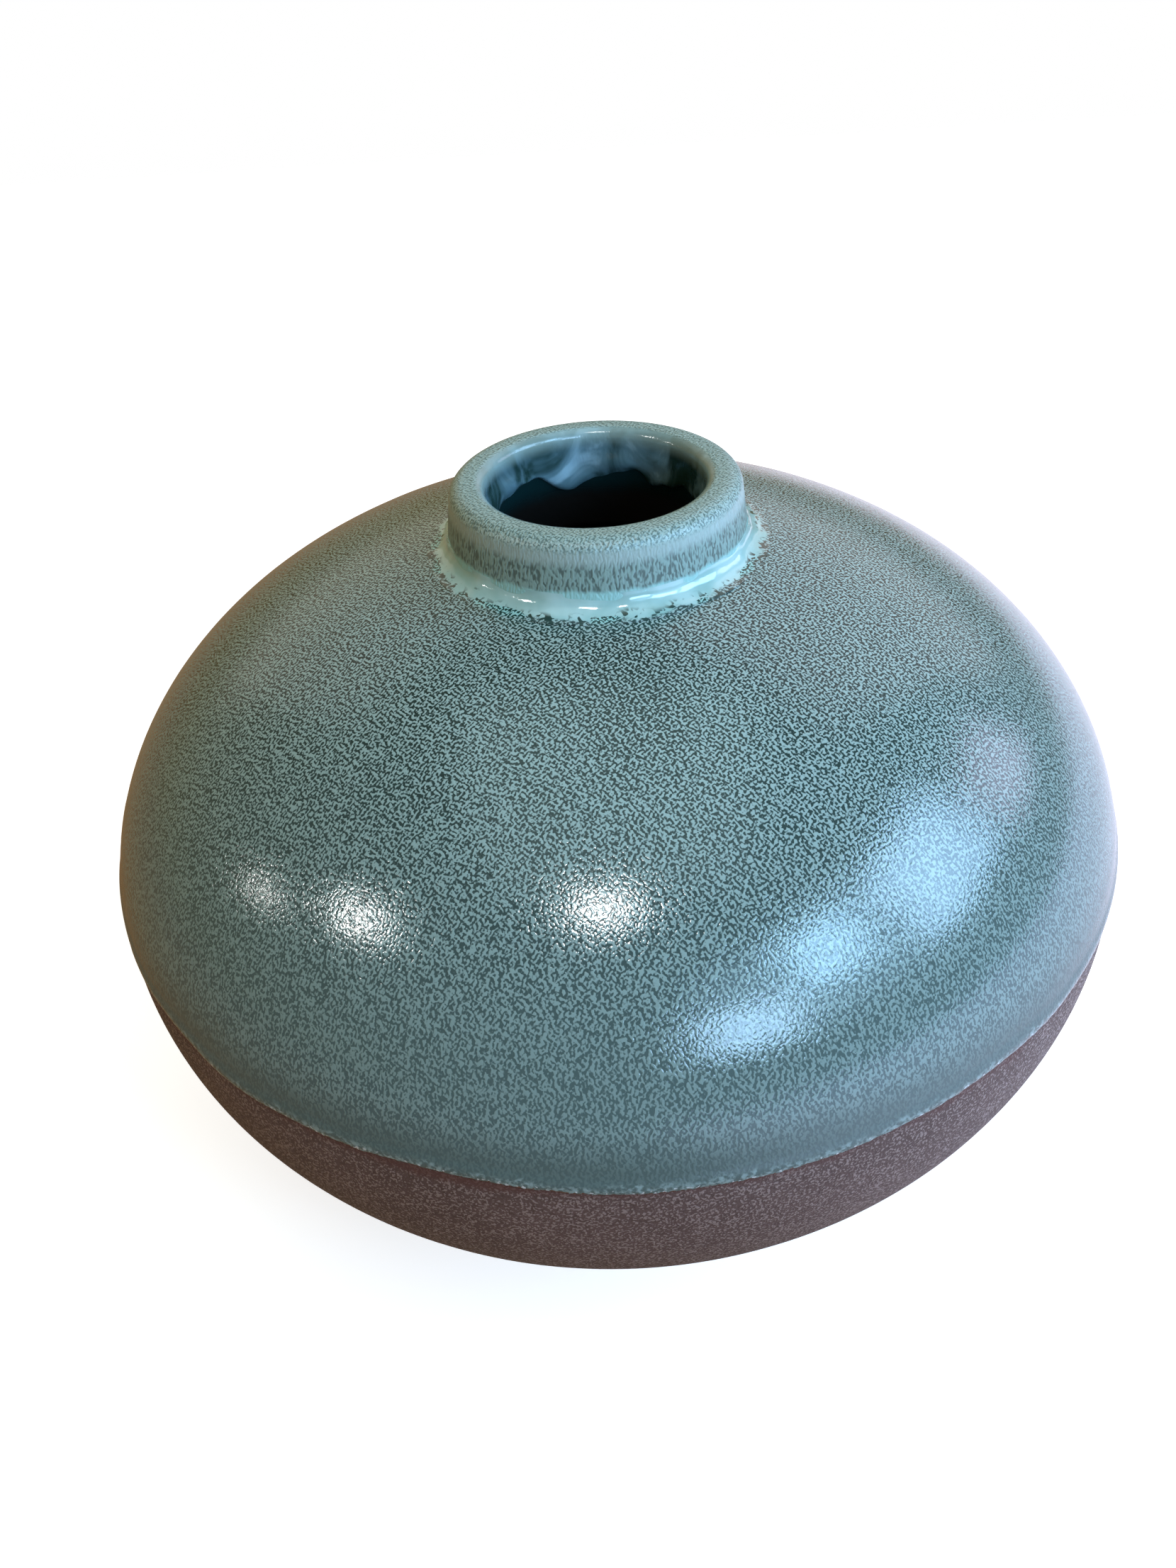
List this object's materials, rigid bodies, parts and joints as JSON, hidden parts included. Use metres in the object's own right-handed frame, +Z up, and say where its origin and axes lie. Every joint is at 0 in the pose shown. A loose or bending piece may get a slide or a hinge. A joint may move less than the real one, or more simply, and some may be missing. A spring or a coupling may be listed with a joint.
{
  "type": "bud vase",
  "caption": "Squat ceramic bud vase: wide oval body, short rolled neck for a few stems, mottled glaze down to a dip line at the belly, bare clay and a foot ring below.",
  "frame": {"origin": "middle of the foot's resting plane, on the vase's axis", "axes": "+Z up along the axis of revolution, -Y towards the viewer, +X to the viewer's right"},
  "size_m": [0.1653, 0.1652, 0.1145],
  "materials": {
    "bare_clay": "matte unglazed brown stoneware with fine pale grit and faint throwing lines",
    "mottled_glaze": "semi-gloss glaze, dark teal worm mottle on pale blue-green",
    "neck_glaze": "semi-gloss grey-blue glaze, streaked down the neck and paler on the lip",
    "pooled_glaze": "glossy thick pale turquoise glaze with dark green flecks at its edge",
    "liner_glaze": "glossy dark green-black liner glaze"
  },
  "bodies": {
    "root": {"foot_ring": "bare_clay", "lower_bowl": "bare_clay", "shoulder_dome": "bare_clay", "neck_collar": "bare_clay", "dome_glaze": "mottled_glaze", "neck_glaze": "neck_glaze", "glaze_pool": "pooled_glaze", "liner_glaze": "liner_glaze"}
  },
  "joints": []
}
